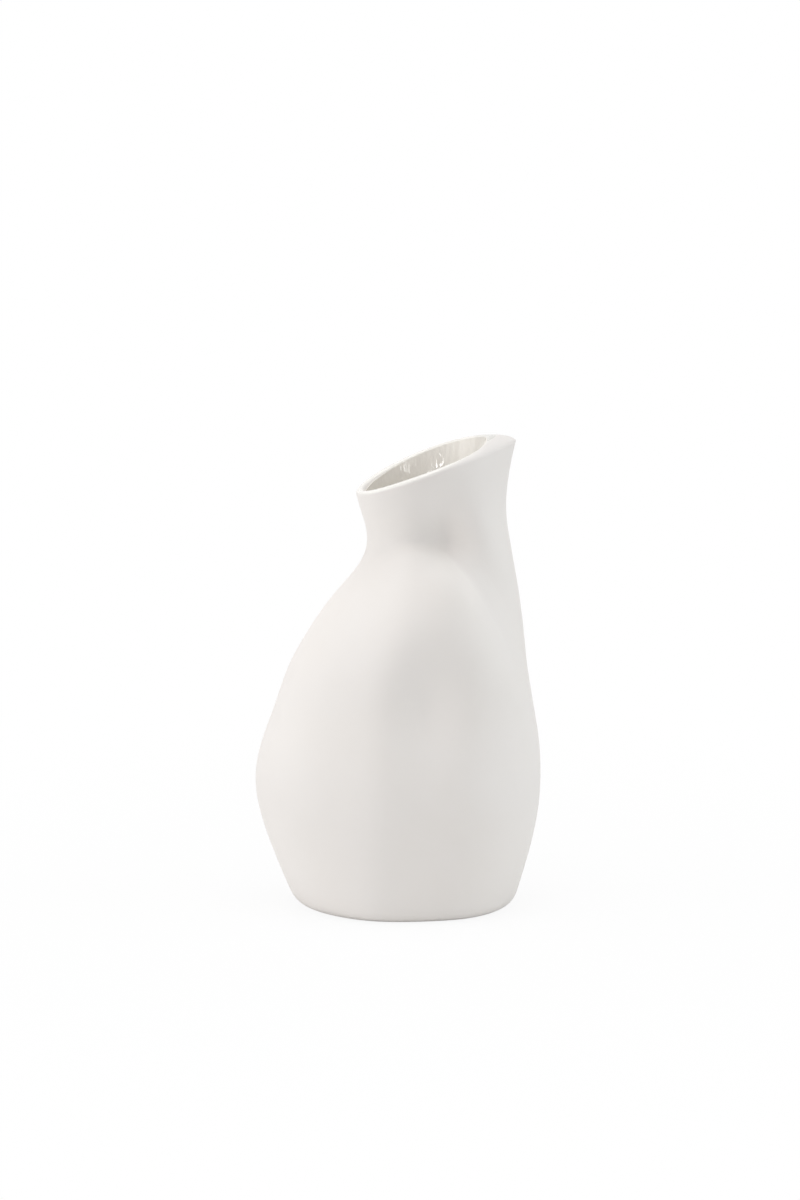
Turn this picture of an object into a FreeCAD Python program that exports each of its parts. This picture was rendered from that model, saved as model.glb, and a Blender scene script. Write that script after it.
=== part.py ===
import FreeCAD, Part
import math
import os

# A porcelain pillow vase, slip cast in one piece, with a glaze that lines its inside.
# Millimetres, +Z up. +X points to the spout's side and -Y to the front. The origin lies under
# the middle of the vase, on the surface that it stands on.

driving_sizes = {
    # The whole vase, up to the lip at the tip of the spout and across the belly
    "vase_height": 192.0,
    "belly_width": 116.0,
    "belly_depth": 90.0,
    # The foot, a flat oval ring round a shallow hollow, and the soft edge that leads up from it
    "foot_length": 73.5,
    "foot_depth": 66.0,
    "foot_shift": 2.7,
    "foot_edge": 7.5,
    "foot_ring_width": 6.5,
    "foot_hollow_depth": 1.4,
    "foot_hollow_slope": 1.8,
    # The cast wall, its floor inside and its lip
    "wall_thickness": 3.6,
    "floor_thickness": 5.5,
    "floor_corner": 9.0,
    "lip_rise": 2.0,
    "spout_lip_length": 8.0,
    # The brow, a full fold of the front wall under the neck. The crease over it is an arch that
    # falls by brow_arm_fall at brow_arm_length to either side of its top. The brow rolls out
    # below the crease, and fades along both arms and down the belly.
    "brow_depth": 8.2,
    "brow_roll": 2.0,
    "brow_crease": 0.4,
    "brow_top_x": 7.0,
    "brow_top_z": 150.5,
    "brow_arm_length": 33.5,
    "brow_arm_fall": 35.0,
    "brow_left_fade": 20.0,
    "brow_right_fade": 70.0,
    "brow_down_fade": 85.0,
    # The thumb-shaped dent in the neck, over the brow
    "neck_dent_depth": 6.6,
    "neck_dent_x": 20.0,
    "neck_dent_z": 151.5,
    "neck_dent_half_width": 10.0,
    "neck_dent_rise": 19.0,
    "neck_dent_fall": 8.0,
    # The wide dent in the belly, under the brow
    "belly_dent_depth": 5.6,
    "belly_dent_x": 12.0,
    "belly_dent_z": 90.5,
    "belly_dent_half_width": 15.5,
    "belly_dent_rise": 19.0,
    "belly_dent_fall": 22.0,
    # The glaze inside, with the pool where it ran down to the floor
    "glaze_thickness": 0.4,
    "glaze_pool_depth": 1.0,
}

doc = FreeCAD.newDocument("PillowVase")
sheet = doc.addObject("Spreadsheet::Sheet", "Sizes")
for row, (alias, value) in enumerate(driving_sizes.items(), start=1):
    sheet.set(f"A{row}", alias)
    sheet.set(f"B{row}", str(value))
    sheet.setAlias(f"B{row}", alias)
doc.recompute()


def size(alias):
    return float(getattr(sheet, alias))


# The rings that shape the wall, from just above the foot to the rim. Each is given by its left
# (x, z), front (y, z), right (x, z) and back (y, z), where x, y and z are shares of half the
# belly's width, of half its depth and of the height that the lip rises from.
ring_shares = [
    ((-0.776, 0.042), (-0.885, 0.042), (0.845, 0.037), (0.889, 0.042)),
    ((-0.900, 0.132), (-0.945, 0.132), (0.920, 0.111), (0.975, 0.132)),
    ((-1.016, 0.242), (-0.982, 0.242), (0.988, 0.200), (1.010, 0.242)),
    ((-0.990, 0.332), (-0.935, 0.337), (1.004, 0.284), (0.985, 0.332)),
    ((-0.862, 0.426), (-0.873, 0.421), (0.991, 0.353), (0.933, 0.426)),
    ((-0.784, 0.511), (-0.838, 0.495), (0.966, 0.400), (0.867, 0.516)),
    ((-0.638, 0.589), (-0.800, 0.563), (0.945, 0.437), (0.789, 0.589)),
    ((-0.500, 0.653), (-0.735, 0.626), (0.928, 0.468), (0.711, 0.658)),
    ((-0.362, 0.700), (-0.628, 0.684), (0.914, 0.495), (0.633, 0.716)),
    ((-0.267, 0.734), (-0.525, 0.726), (0.902, 0.516), (0.589, 0.758)),
    ((-0.224, 0.763), (-0.447, 0.755), (0.891, 0.547), (0.556, 0.784)),
    ((-0.212, 0.787), (-0.410, 0.776), (0.876, 0.600), (0.544, 0.805)),
    ((-0.224, 0.816), (-0.405, 0.816), (0.840, 0.684), (0.533, 0.832)),
    ((-0.245, 0.837), (-0.446, 0.858), (0.776, 0.789), (0.522, 0.868)),
    ((-0.267, 0.858), (-0.501, 0.900), (0.724, 0.884), (0.533, 0.911)),
    ((-0.290, 0.886), (-0.556, 0.942), (0.816, 0.999), (0.578, 0.963)),
]
# How evenly each ring climbs from side to side: 1 lies in a plane, and 0 sags between its sides
even_shares = [0, 0, 0, 0, 0, 0, 0, 0, 0, 0, 0, 0, 0.2, 0.6, 1, 1]
# How much of the spout's pinch each ring has
spout_shares = [0, 0, 0, 0, 0, 0, 0, 0, 0, 0, 0, 0, 0, 0.1, 0.45, 1]
# How much of its depth the rim loses at the tip of the spout, outside and inside
spout_pinch_share = 0.72
inside_pinch_share = 0.35
# How much softer the brow's crease is on an inner surface, as a share of its inset
crease_softening_share = 0.25

foot_rings = 2
ring_steps = 6
columns = 160
degree = 3
angles = [2 * math.pi * column / columns for column in range(columns)]
# A closed smooth ring runs inside its poles by this ratio, so the poles stand out by as much
pole_gain = degree / (2 + math.cos(angles[1]))


def foot_ring(reach):
    half_length = size("foot_length") / 2 + reach
    half_depth = size("foot_depth") / 2 + reach
    shift = size("foot_shift")
    return (shift - half_length, 0), (-half_depth, 0), (shift + half_length, 0), (half_depth, 0)


def wall_ring(shares):
    half_width = size("belly_width") / 2
    half_depth = size("belly_depth") / 2
    height = size("vase_height") - size("lip_rise")
    scales = (half_width, half_depth, half_width, half_depth)
    return [(place[0] * scale, place[1] * height) for place, scale in zip(shares, scales)]


def spout_side(angle):
    # 1 at the tip of the spout, falling to 0 at the opposite side
    return ((1 + math.cos(angle)) / 2) ** 4


def ring_poles(ring, even_share, pinch_share):
    # The poles of one ring, oval in plan, that passes through its four places
    left, front, right, back = ring
    middle_x = (left[0] + right[0]) / 2
    middle_y = (front[0] + back[0]) / 2
    middle_z = (left[1] + right[1] + front[1] + back[1]) / 4
    reach_x = (right[0] - left[0]) / 2 * pole_gain
    reach_y = (back[0] - front[0]) / 2 * pole_gain
    climb_x = (right[1] - left[1]) / 2
    climb_y = (back[1] - front[1]) / 2
    side_lift = (left[1] + right[1] - front[1] - back[1]) / 4
    sag_share = 1 - even_share
    poles = []
    for angle in angles:
        cos = math.cos(angle)
        sin = math.sin(angle)
        x = middle_x + reach_x * cos
        y = middle_y + reach_y * sin
        z = middle_z + side_lift * math.cos(2 * angle)
        z += climb_x * cos * (even_share + sag_share * abs(cos))
        z += climb_y * sin * (even_share + sag_share * abs(sin))
        y -= (y - middle_y) * pinch_share * spout_side(angle)
        poles.append(FreeCAD.Vector(x, y, z))
    return poles


def outside_net(full_pinch_share):
    # Rings of poles over the outside, from the foot up to the rim
    net = [ring_poles(foot_ring(reach), 0, 0) for reach in (0, size("foot_edge"))]
    for shares, even, spout in zip(ring_shares, even_shares, spout_shares):
        net.append(ring_poles(wall_ring(shares), even, spout * full_pinch_share))
    return net


def moved_in(net, distance):
    # The net moved towards the vase's axis by a distance, square to its own surface
    moved = []
    for row, poles in enumerate(net):
        below = net[max(row - 1, 0)]
        above = net[min(row + 1, len(net) - 1)]
        ring = []
        for column, pole in enumerate(poles):
            around = poles[(column + 1) % columns] - poles[column - 1]
            up = above[column] - below[column]
            ring.append(pole - around.cross(up).normalize() * distance)
        moved.append(ring)
    return moved


def inside_net():
    # Rings of poles over the inside of the cast wall, from the edge of its floor up to the rim
    blunt = outside_net(inside_pinch_share)
    corner, *wall = moved_in(blunt, size("wall_thickness"))[foot_rings:]
    for ring, spout in zip(wall, spout_shares[1:]):
        for column, angle in enumerate(angles):
            setback = size("spout_lip_length") * spout * spout_side(angle)
            ring[column] -= FreeCAD.Vector(setback, 0, 0)
    floor = size("floor_thickness")
    middle = FreeCAD.Vector(size("foot_shift"), 0, floor)
    corner = [FreeCAD.Vector(pole.x, pole.y, floor) for pole in corner]
    reach = size("floor_corner")
    edge = [pole + (middle - pole).normalize() * reach for pole in corner]
    return [edge, corner] + wall


def glaze_net(inside):
    # Rings of poles over the glaze, whose floor is the top of the pool
    edge, corner, *wall = moved_in(inside, size("glaze_thickness"))
    pool = size("floor_thickness") + size("glaze_pool_depth")
    edge = [FreeCAD.Vector(pole.x, pole.y, pool) for pole in edge]
    corner = [FreeCAD.Vector(pole.x, pole.y, pool) for pole in corner]
    return [edge, corner] + wall


def lip_net(outside, inside):
    # The rounded lip, over the wall's upper edge from the outside to the inside
    rise = size("lip_rise")
    sides = []
    for net in (outside, inside):
        ring = []
        for below, pole in zip(net[-2], net[-1]):
            ring.append(pole + (pole - below).normalize() * rise)
        sides.append(ring)
    return [outside[-1], sides[0], sides[1], inside[-1]]


def ring_surface(net):
    # A smooth surface over rings of poles, closed round the vase, that ends on its last rings
    spans = len(net) - degree
    surface = Part.BSplineSurface()
    surface.buildFromPolesMultsKnots(
        net,
        [degree + 1] + [1] * (spans - 1) + [degree + 1],
        [1] * (columns + 1),
        list(range(spans + 1)),
        list(range(columns + 1)),
        False,
        True,
        degree,
        degree,
    )
    return surface


def ring_face(net):
    return ring_surface(net).toShape()


def finer(net):
    # The rings of poles that give the same surface with every span between rings cut in steps
    surface = ring_surface(net)
    spans = len(net) - degree
    knots = [span + step / ring_steps for span in range(spans) for step in range(1, ring_steps)]
    surface.insertUKnots(knots, [1] * len(knots), 0)
    return surface.getPoles()


def dent(name, x, z):
    # How deep the named dent is at a place on the front
    reach = size(name + "_rise") if z > size(name + "_z") else size(name + "_fall")
    across = (x - size(name + "_x")) / size(name + "_half_width")
    along = (z - size(name + "_z")) / reach
    return size(name + "_depth") * math.exp(-across ** 2 - along ** 2)


def brow(x, z, inset):
    # How far the brow stands out at a place on the front of a surface that lies inside the
    # outer one by an inset. Its crease is lower and softer there, so that the wall stays even.
    half_turn = math.atan2(size("brow_depth"), size("brow_roll")) / 2
    beside = x - size("brow_top_x")
    drop = size("brow_arm_fall") * (beside / size("brow_arm_length")) ** 2
    slope = 2 * size("brow_arm_fall") * beside / size("brow_arm_length") ** 2
    below = (size("brow_top_z") - drop - z) / math.hypot(1, slope) - inset * math.tan(half_turn)
    crease = size("brow_crease") + inset * crease_softening_share
    below = crease * math.log1p(math.exp(below / crease))
    arm_fade = size("brow_right_fade") if beside > 0 else size("brow_left_fade")
    fading = math.exp(-(beside / arm_fade) ** 2 - (below / size("brow_down_fade")) ** 2)
    return size("brow_depth") * fading * (1 - math.exp(-below / size("brow_roll")))


def shaped(net, inset):
    # The net on finer rings, with the brow and the dents pressed into its front
    rings = []
    for poles in finer(net):
        ring = []
        for angle, pole in zip(angles, poles):
            frontness = ((1 - math.sin(angle)) / 2) ** 2
            dents = dent("neck_dent", pole.x, pole.z) + dent("belly_dent", pole.x, pole.z)
            y = pole.y - brow(pole.x, pole.z, inset) * frontness + dents * frontness ** 2
            ring.append(FreeCAD.Vector(pole.x, y, pole.z))
        rings.append(ring)
    return rings


def ring_edge(poles):
    curve = Part.BSplineCurve()
    curve.buildFromPolesMultsKnots(
        poles, [1] * (columns + 1), list(range(columns + 1)), True, degree
    )
    return curve.toShape()


def flat_face(poles):
    return Part.Face(Part.Wire([ring_edge(poles)]))


def closed_solid(faces):
    shell = Part.makeShell(faces)
    shell.sewShape()
    solid = Part.makeSolid(shell)
    if solid.Volume < 0:
        solid.reverse()
    return solid


wall = size("wall_thickness")
outside = shaped(outside_net(spout_pinch_share), 0)
inside = shaped(inside_net(), wall)
glaze = shaped(glaze_net(inside_net()), wall + size("glaze_thickness"))

# The cast body before its foot is hollowed
cast_form = doc.addObject("Part::Feature", "CastForm")
cast_form.Shape = closed_solid([
    flat_face(outside[0]),
    ring_face(outside),
    ring_face(lip_net(outside, inside)),
    ring_face(inside),
    flat_face(inside[0]),
])
cast_form.Placement = FreeCAD.Placement()

# The shallow hollow under the foot, which leaves the flat ring. Its longer side lies along the
# foot's longer side, whichever that is.
longer = "max(Sizes.foot_length; Sizes.foot_depth) / 2"
shorter = "min(Sizes.foot_length; Sizes.foot_depth) / 2"
inset = "Sizes.foot_ring_width"
outlines = []
for name, height in (("FootHollowMouth", "0"), ("FootHollowRoof", "Sizes.foot_hollow_depth")):
    outline = doc.addObject("Part::Ellipse", name)
    outline.setExpression("MajorRadius", f"{longer} - {inset}")
    outline.setExpression("MinorRadius", f"{shorter} - {inset}")
    outline.Placement.Rotation.Axis = FreeCAD.Vector(0, 0, 1)
    outline.setExpression(
        "Placement.Rotation.Angle", "Sizes.foot_length < Sizes.foot_depth ? 90 : 0"
    )
    outline.setExpression("Placement.Base.x", "Sizes.foot_shift")
    outline.setExpression("Placement.Base.z", height)
    outlines.append(outline)
    inset += " - Sizes.foot_hollow_slope"
foot_hollow = doc.addObject("Part::Loft", "FootHollow")
foot_hollow.Sections = outlines
foot_hollow.Solid = True
foot_hollow.Ruled = True

vase_body = doc.addObject("Part::Cut", "VaseBody")
vase_body.Base = cast_form
vase_body.Tool = foot_hollow
vase_body.Label = "vase_body"

# The glaze, a thin skin on the whole inside that stops below the lip
inside_glaze = doc.addObject("Part::Feature", "InsideGlaze")
inside_glaze.Shape = closed_solid([
    flat_face(inside[0]),
    ring_face(inside),
    Part.makeRuledSurface(ring_edge(inside[-1]), ring_edge(glaze[-1])),
    ring_face(glaze),
    flat_face(glaze[0]),
])
inside_glaze.Placement = FreeCAD.Placement()
inside_glaze.Label = "inside_glaze"

doc.recompute()
for thing in doc.Objects:
    if "Invalid" in thing.State or "Error" in thing.State:
        raise RuntimeError(f"{thing.Label} did not build")

sub_parts = [vase_body, inside_glaze]
for sub_part in sub_parts:
    shape = sub_part.Shape
    if shape.isNull() or not shape.isValid() or len(shape.Solids) != 1:
        raise RuntimeError(f"{sub_part.Label} is not one valid solid")

os.makedirs("parts", exist_ok=True)
for sub_part in sub_parts:
    shape = sub_part.Shape
    shape.exportStep(f"parts/{sub_part.Label}.step")
    box = shape.BoundBox
    print(sub_part.Label, round(shape.Volume), "mm3", round(box.ZMin, 2), round(box.ZMax, 2))
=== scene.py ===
import math

import bpy
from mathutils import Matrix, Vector


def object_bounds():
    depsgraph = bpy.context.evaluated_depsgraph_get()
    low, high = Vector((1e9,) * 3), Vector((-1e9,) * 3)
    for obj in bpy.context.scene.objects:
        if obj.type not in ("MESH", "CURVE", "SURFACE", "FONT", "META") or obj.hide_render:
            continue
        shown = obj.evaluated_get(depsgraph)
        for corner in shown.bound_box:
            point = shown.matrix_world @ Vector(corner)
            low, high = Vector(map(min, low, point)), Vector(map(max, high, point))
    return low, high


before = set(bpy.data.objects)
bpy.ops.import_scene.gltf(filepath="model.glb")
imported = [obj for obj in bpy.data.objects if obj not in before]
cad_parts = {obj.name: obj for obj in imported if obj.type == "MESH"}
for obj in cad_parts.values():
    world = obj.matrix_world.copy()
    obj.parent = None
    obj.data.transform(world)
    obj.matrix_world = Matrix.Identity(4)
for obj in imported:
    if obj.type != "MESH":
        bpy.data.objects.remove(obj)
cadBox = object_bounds()
millimetre = 0.001

srgb = {
    # the curve that turns a hex colour's share of full brightness into a linear one
    "fullByte": 255,
    "straightUpTo": 0.04045,
    "straightDivisor": 12.92,
    "offset": 0.055,
    "power": 2.4,
}


def linear(hexColour):
    # an sRGB hex colour as the linear colour that the nodes take
    colour = []
    for digit in (1, 3, 5):
        share = int(hexColour[digit:digit + 2], 16) / srgb["fullByte"]
        if share <= srgb["straightUpTo"]:
            colour.append(share / srgb["straightDivisor"])
        else:
            colour.append(((share + srgb["offset"]) / (1 + srgb["offset"])) ** srgb["power"])
    return colour + [1]


def addNode(tree, kind, inputs=None, **settings):
    # adds a node with its settings; each of its inputs takes a value or the output of another node
    node = tree.nodes.new(kind)
    for name, value in settings.items():
        setattr(node, name, value)
    for name, source in (inputs or {}).items():
        if isinstance(source, bpy.types.NodeSocket):
            tree.links.new(source, node.inputs[name])
        else:
            node.inputs[name].default_value = source
    return node


def newMaterial(name):
    # a material whose node tree is still empty
    material = bpy.data.materials.new(name)
    material.use_nodes = True
    material.node_tree.nodes.clear()
    return material, material.node_tree


bisque = {
    "colour": "#F1EDEA",
    "warmColour": "#ECE7E2",
    "roughness": 0.58,
    "ior": 1.5,
    "cloudSize": 40 * millimetre,
    "cloudDetail": 3,
    "swellSize": 30 * millimetre,
    "swellHeight": 0.05 * millimetre,
    "swellDetail": 1,
    "grainSize": 0.7 * millimetre,  # the real grain is under 0.1 mm, so it's drawn coarser, to show
    "grainHeight": 0.006 * millimetre,
    "grainDetail": 4,
    # the sanded ring that the vase stands on
    "sandedColour": "#DCD5CB",
    "sandedRoughness": 0.8,
    "sandedHeight": 0.8 * millimetre,
    # the painted shade on the top of the spout: its colour, from where it starts along X, and by how far
    # its surface faces up
    "spoutTopShadeColour": "#E8E4E1",
    "spoutStart": 29 * millimetre,
    "spoutEnd": 36 * millimetre,
    "spoutTopStart": 0.2,
    "spoutTopEnd": 0.7,
    # three places on the crest of the lip, and the wet edge of glaze along it
    "lipLeft": Vector((-15.4, -1.2, 170.6)) * millimetre,
    "lipFront": Vector((10.0, -21.6, 179.2)) * millimetre,
    "lipRight": Vector((36.6, 1.6, 191.4)) * millimetre,
    "lipColour": "#F6F3EE",
    # painted shade on the lap of glaze towards the spout
    "lipShadeAtSpout": "#E0DED9",
    "lipRoughness": 0.16,
    "lipDrop": 0.9 * millimetre,  # from the crest down to the edge of the glaze
    "lipSoftness": 0.5 * millimetre,
    "lipWander": 0.5 * millimetre,  # how far that edge strays up and down
    "lipWanderSize": 7 * millimetre,
}


def lipLap(tree, place):
    # where the glaze from inside laps over the crest of the lip: it ends in a thin, uneven line
    lipRise = bisque["lipRight"] - bisque["lipLeft"]
    lipUp = lipRise.cross(bisque["lipLeft"] - bisque["lipFront"]).normalized()
    height = addNode(tree, "ShaderNodeVectorMath", {0: place, 1: lipUp}, operation="DOT_PRODUCT")
    wander = addNode(tree, "ShaderNodeTexNoise", {"Vector": place, "Scale": 1 / bisque["lipWanderSize"]})
    level = addNode(tree, "ShaderNodeMath",
                    {0: wander.outputs["Fac"], 1: bisque["lipWander"], 2: height.outputs["Value"]},
                    operation="MULTIPLY_ADD")
    lapStart = lipUp.dot(bisque["lipLeft"]) - bisque["lipDrop"] + bisque["lipWander"] / 2
    lap = addNode(tree, "ShaderNodeMapRange",
                  {"Value": level.outputs[0],
                   "From Min": lapStart, "From Max": lapStart + bisque["lipSoftness"]},
                  interpolation_type="SMOOTHSTEP")
    return lap.outputs["Result"]


def bisqueTone(tree, place, sanded, spoutward, lap):
    # pale and a little warm, in soft clouds
    cloud = addNode(tree, "ShaderNodeTexNoise",
                    {"Vector": place, "Scale": 1 / bisque["cloudSize"], "Detail": bisque["cloudDetail"]})
    wall = addNode(tree, "ShaderNodeMix",
                   {"Factor": cloud.outputs["Fac"],
                    "A": linear(bisque["colour"]), "B": linear(bisque["warmColour"])}, data_type="RGBA")

    # sanding leaves the ring under the foot a little darker
    foot = addNode(tree, "ShaderNodeMix",
                   {"Factor": sanded, "A": wall.outputs["Result"], "B": linear(bisque["sandedColour"])},
                   data_type="RGBA")

    # painted shade: the top of the spout, where it faces up, is drawn a little greyer than the walls
    facing = addNode(tree, "ShaderNodeNewGeometry").outputs["Normal"]
    facingAxes = addNode(tree, "ShaderNodeSeparateXYZ", {"Vector": facing}).outputs
    upward = addNode(tree, "ShaderNodeMapRange",
                     {"Value": facingAxes["Z"],
                      "From Min": bisque["spoutTopStart"], "From Max": bisque["spoutTopEnd"]})
    spoutTop = addNode(tree, "ShaderNodeMath", {0: spoutward, 1: upward.outputs["Result"]},
                       operation="MULTIPLY")
    spout = addNode(tree, "ShaderNodeMix",
                    {"Factor": spoutTop.outputs[0],
                     "A": foot.outputs["Result"], "B": linear(bisque["spoutTopShadeColour"])}, data_type="RGBA")

    # painted shade: the lap of glaze is drawn greyer towards the spout
    glazed = addNode(tree, "ShaderNodeMix",
                     {"Factor": spoutward,
                      "A": linear(bisque["lipColour"]), "B": linear(bisque["lipShadeAtSpout"])},
                     data_type="RGBA")
    lipped = addNode(tree, "ShaderNodeMix",
                     {"Factor": lap, "A": spout.outputs["Result"], "B": glazed.outputs["Result"]},
                     data_type="RGBA")
    return lipped.outputs["Result"]


def bisqueRoughness(tree, sanded, lap):
    # chalky, duller still on the sanded ring, and wet looking on the lap of glaze
    bare = addNode(tree, "ShaderNodeMix",
                   {"Factor": sanded, "A": bisque["roughness"], "B": bisque["sandedRoughness"]})
    lipped = addNode(tree, "ShaderNodeMix",
                     {"Factor": lap, "A": bare.outputs["Result"], "B": bisque["lipRoughness"]})
    return lipped.outputs["Result"]


def bisqueRelief(tree, place):
    # the slow swell of a sponged wall, with the dry grain of the clay on it
    swell = addNode(tree, "ShaderNodeTexNoise",
                    {"Vector": place, "Scale": 1 / bisque["swellSize"], "Detail": bisque["swellDetail"]})
    swellBump = addNode(tree, "ShaderNodeBump",
                        {"Height": swell.outputs["Fac"], "Distance": bisque["swellHeight"]})
    grain = addNode(tree, "ShaderNodeTexNoise",
                    {"Vector": place, "Scale": 1 / bisque["grainSize"], "Detail": bisque["grainDetail"]})
    grainBump = addNode(tree, "ShaderNodeBump",
                        {"Height": grain.outputs["Fac"], "Distance": bisque["grainHeight"],
                         "Normal": swellBump.outputs["Normal"]})
    return grainBump.outputs["Normal"]


def bisquePorcelain():
    # unglazed porcelain, cast and sponged smooth: chalky, pale and a little warm, with a dry fine grain
    material, tree = newMaterial("bisque_porcelain")
    place = addNode(tree, "ShaderNodeTexCoord").outputs["Object"]
    axes = addNode(tree, "ShaderNodeSeparateXYZ", {"Vector": place}).outputs
    low = addNode(tree, "ShaderNodeMapRange",
                  {"Value": axes["Z"], "From Min": bisque["sandedHeight"], "From Max": 0.0})
    spoutward = addNode(tree, "ShaderNodeMapRange",
                        {"Value": axes["X"],
                         "From Min": bisque["spoutStart"], "From Max": bisque["spoutEnd"]})
    sanded = low.outputs["Result"]
    lap = lipLap(tree, place)
    shader = addNode(tree, "ShaderNodeBsdfPrincipled",
                     {"Base Color": bisqueTone(tree, place, sanded, spoutward.outputs["Result"], lap),
                      "Roughness": bisqueRoughness(tree, sanded, lap),
                      "Normal": bisqueRelief(tree, place),
                      "IOR": bisque["ior"]})
    addNode(tree, "ShaderNodeOutputMaterial", {"Surface": shader.outputs["BSDF"]})
    return material


glaze = {
    "colour": "#F8F4EE",
    "pooledColour": "#F1ECE3",
    "poolSize": 26 * millimetre,
    "poolDetail": 2,
    "roughness": 0.05,
    "ior": 1.52,
    # the runs of the poured coat, and where along their noise they start
    "runWidth": 2.2 * millimetre,
    "runLength": 8 * millimetre,
    "runHeight": 0.3 * millimetre,
    "runDetail": 1,
    "runShift": (9.0, 0.0, 0.0),
}


def clearGlaze():
    # glossy clear glaze on porcelain: wet looking, a little creamier where it gathered, with the
    # upright ripples of a poured coat that ran down
    material, tree = newMaterial("clear_glaze")
    place = addNode(tree, "ShaderNodeTexCoord").outputs["Object"]
    gathered = addNode(tree, "ShaderNodeTexNoise",
                       {"Vector": place, "Scale": 1 / glaze["poolSize"], "Detail": glaze["poolDetail"]})
    tone = addNode(tree, "ShaderNodeMix",
                   {"Factor": gathered.outputs["Fac"],
                    "A": linear(glaze["colour"]), "B": linear(glaze["pooledColour"])}, data_type="RGBA")

    # the mapping gives the runs their size, so the noise itself has a scale of 1
    runScale = [1 / glaze["runWidth"], 1 / glaze["runWidth"], 1 / glaze["runLength"]]
    along = addNode(tree, "ShaderNodeMapping",
                    {"Vector": place, "Scale": runScale, "Location": glaze["runShift"]})
    run = addNode(tree, "ShaderNodeTexNoise",
                  {"Vector": along.outputs["Vector"], "Scale": 1.0, "Detail": glaze["runDetail"]})
    runBump = addNode(tree, "ShaderNodeBump",
                      {"Height": run.outputs["Fac"], "Distance": glaze["runHeight"]})

    shader = addNode(tree, "ShaderNodeBsdfPrincipled",
                     {"Base Color": tone.outputs["Result"], "Roughness": glaze["roughness"],
                      "Normal": runBump.outputs["Normal"], "IOR": glaze["ior"]})
    addNode(tree, "ShaderNodeOutputMaterial", {"Surface": shader.outputs["BSDF"]})
    return material


def dress(node, material):
    # gives a CAD node its finish
    node.data.materials.clear()
    node.data.materials.append(material)


dress(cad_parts["vase_body"], bisquePorcelain())
dress(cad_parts["inside_glaze"], clearGlaze())
print("vase dressed")

studio = {
    "floorSide": 6.0,
    "floorDrop": 0.1 * millimetre,  # keeps the floor off the foot, which stands at the same height
    "floorColour": "#F4F4F4",
    "shadowShare": 0.12,  # how much of the vase's shadow the floor shows, right beside the foot
    "shadowReach": 0.45,
    "wallColour": "#FFFFFF",
    "wallLevel": 0.42,
    "whiteLevel": 1.0,
    "lampDistance": 1.4,
}


def studioFloor():
    # a plain white floor: it takes the soft shadow beside the vase and turns to pure white further out
    bpy.ops.object.select_all(action="DESELECT")
    bpy.ops.mesh.primitive_plane_add(size=studio["floorSide"], location=(0, 0, -studio["floorDrop"]))
    floor = bpy.context.object
    floor.name = "studio_floor"
    material, tree = newMaterial("studio_floor")
    matt = addNode(tree, "ShaderNodeBsdfDiffuse", {"Color": linear(studio["floorColour"])})
    white = addNode(tree, "ShaderNodeEmission", {"Strength": studio["whiteLevel"]})

    # how white the floor shows: all of it far out, less beside the vase, and none in other rays
    place = addNode(tree, "ShaderNodeTexCoord").outputs["Object"]
    shrunk = addNode(tree, "ShaderNodeMapping",
                     {"Vector": place, "Scale": [1 / studio["shadowReach"]] * 3})
    beside = addNode(tree, "ShaderNodeTexGradient", {"Vector": shrunk.outputs["Vector"]},
                     gradient_type="QUADRATIC_SPHERE")
    plain = addNode(tree, "ShaderNodeMath",
                    {0: beside.outputs["Fac"], 1: -studio["shadowShare"], 2: studio["whiteLevel"]},
                    operation="MULTIPLY_ADD")
    rays = addNode(tree, "ShaderNodeLightPath").outputs
    seen = addNode(tree, "ShaderNodeMath", {0: rays["Is Camera Ray"], 1: plain.outputs[0]},
                   operation="MULTIPLY")
    both = addNode(tree, "ShaderNodeMixShader",
                   {0: seen.outputs[0], 1: matt.outputs[0], 2: white.outputs[0]})
    addNode(tree, "ShaderNodeOutputMaterial", {"Surface": both.outputs[0]})
    floor.data.materials.append(material)


def studioSurround():
    # pale walls all round: white where they are seen or mirrored, dimmer where they only light the vase
    world = bpy.data.worlds.new("studio_surround")
    bpy.context.scene.world = world
    world.use_nodes = True
    tree = world.node_tree
    tree.nodes.clear()
    wallColour = linear(studio["wallColour"])
    walls = addNode(tree, "ShaderNodeBackground", {"Color": wallColour, "Strength": studio["wallLevel"]})
    white = addNode(tree, "ShaderNodeBackground", {"Color": wallColour, "Strength": studio["whiteLevel"]})
    rays = addNode(tree, "ShaderNodeLightPath").outputs
    mirrored = addNode(tree, "ShaderNodeMath", {0: rays["Is Camera Ray"], 1: rays["Is Glossy Ray"]},
                       operation="MAXIMUM")
    shown = addNode(tree, "ShaderNodeMath", {0: mirrored.outputs[0], 1: rays["Is Transmission Ray"]},
                    operation="MAXIMUM")
    both = addNode(tree, "ShaderNodeMixShader",
                   {0: shown.outputs[0], 1: walls.outputs[0], 2: white.outputs[0]})
    addNode(tree, "ShaderNodeOutputWorld", {"Surface": both.outputs[0]})


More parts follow.
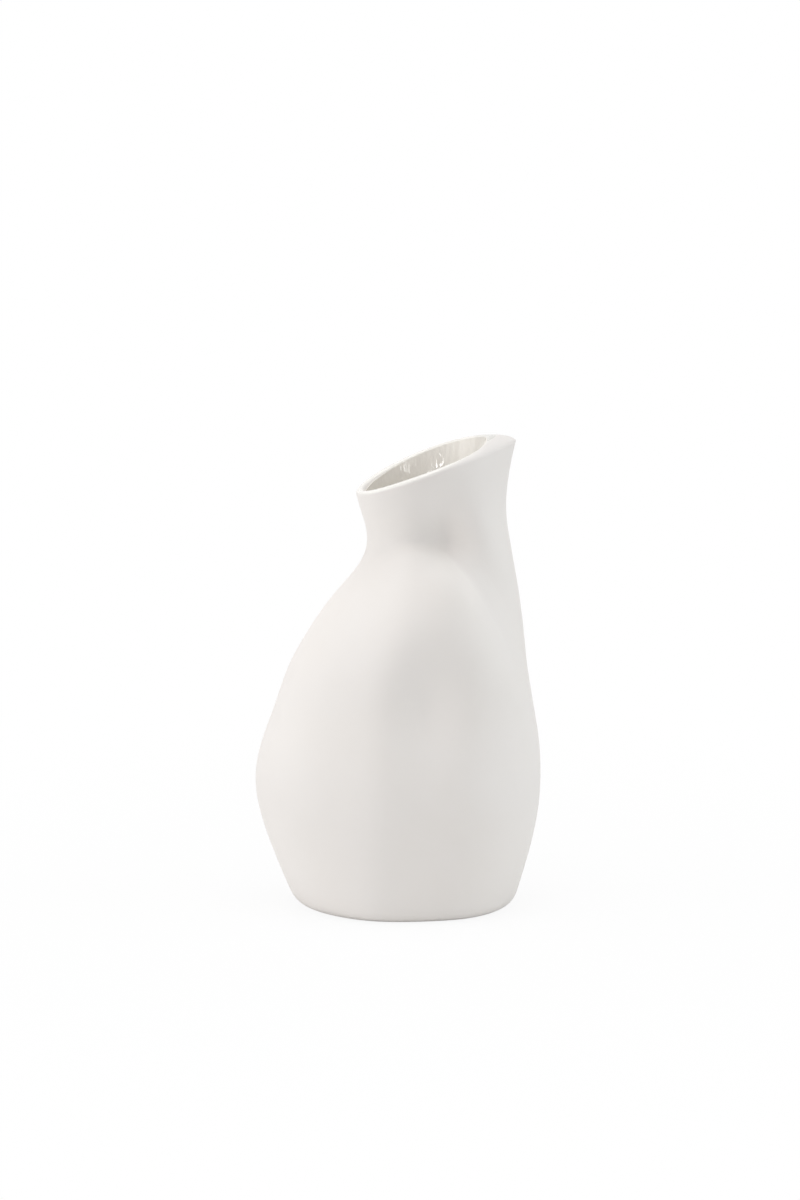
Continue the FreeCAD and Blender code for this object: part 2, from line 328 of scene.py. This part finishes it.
softBoxes = {
    # where each box hangs as degrees round from the front and up from level, its sides, power and tint
    "top_box": {"round": 0, "up": 88, "sides": (1.1, 1.1), "watts": 9.8, "colour": "#FFFFFF"},
    "left_box": {"round": -85, "up": 15, "sides": (1.1, 1.1), "watts": 5.0, "colour": "#FFFFFF"},
    "left_front_box": {"round": -55, "up": 15, "sides": (1.1, 1.1), "watts": 3.3, "colour": "#FFFFFF"},
    "right_box": {"round": 85, "up": 15, "sides": (1.1, 1.1), "watts": 5.8, "colour": "#F4FCFF"},
}
sparkleLamps = {
    # small lamps in front that only show as glints in the glaze, inside the mouth
    "left_sparkle": {"round": -21, "up": 9, "sides": (0.16, 0.12), "watts": 0.7, "colour": "#FFFFFF"},
    "middle_sparkle": {"round": -6, "up": 10, "sides": (0.12, 0.1), "watts": 0.55, "colour": "#FFFFFF"},
    "right_sparkle": {"round": 30, "up": 15, "sides": (0.16, 0.24), "watts": 0.6, "colour": "#FFFFFF"},
}


def hangLamps(lamps, target, lightsMatt):
    # hangs rectangular lamps round the target, all at one distance and turned to it
    for name, settings in lamps.items():
        turn, rise = math.radians(settings["round"]), math.radians(settings["up"])
        away = Vector((math.sin(turn) * math.cos(rise), -math.cos(turn) * math.cos(rise), math.sin(rise)))
        bpy.ops.object.light_add(type="AREA", location=Vector(target) + away * studio["lampDistance"])
        lamp = bpy.context.object
        lamp.name = name
        lamp.visible_diffuse = lightsMatt
        lamp.data.shape = "RECTANGLE"
        lamp.data.size, lamp.data.size_y = settings["sides"]
        lamp.data.energy = settings["watts"]
        lamp.data.color = linear(settings["colour"])[:3]
        lamp.rotation_euler = (-away).to_track_quat("-Z", "Y").to_euler()


view = {
    "elevation": math.radians(9.5),
    "distance": 1.8,
    "aim": (0.8 * millimetre, 0.0, 125 * millimetre),
    "imageHeight": 1200,  # pixels of the photograph
    "pixelsPerMillimetre": 2.474,
    "sensor": 36.0,  # millimetres, along the picture's height
}


def photoCamera():
    # the camera of the photograph: a long lens straight in front and a little above the vase
    bpy.ops.object.camera_add()
    camera = bpy.context.object
    camera.data.sensor_width = view["sensor"]
    pixelsPerMetre = view["pixelsPerMillimetre"] / millimetre
    camera.data.lens = view["sensor"] * pixelsPerMetre * view["distance"] / view["imageHeight"]
    back = Vector((0, -math.cos(view["elevation"]), math.sin(view["elevation"])))
    camera.location = Vector(view["aim"]) + back * view["distance"]
    camera.rotation_euler = (-back).to_track_quat("-Z", "Y").to_euler()
    bpy.context.scene.camera = camera


studioFloor()
studioSurround()
vaseMiddle = (0, 0, (cadBox[0].z + cadBox[1].z) / 2)
hangLamps(softBoxes, vaseMiddle, lightsMatt=True)
hangLamps(sparkleLamps, vaseMiddle, lightsMatt=False)
photoCamera()
bpy.context.scene.view_settings.view_transform = "Standard"
print("studio set up")
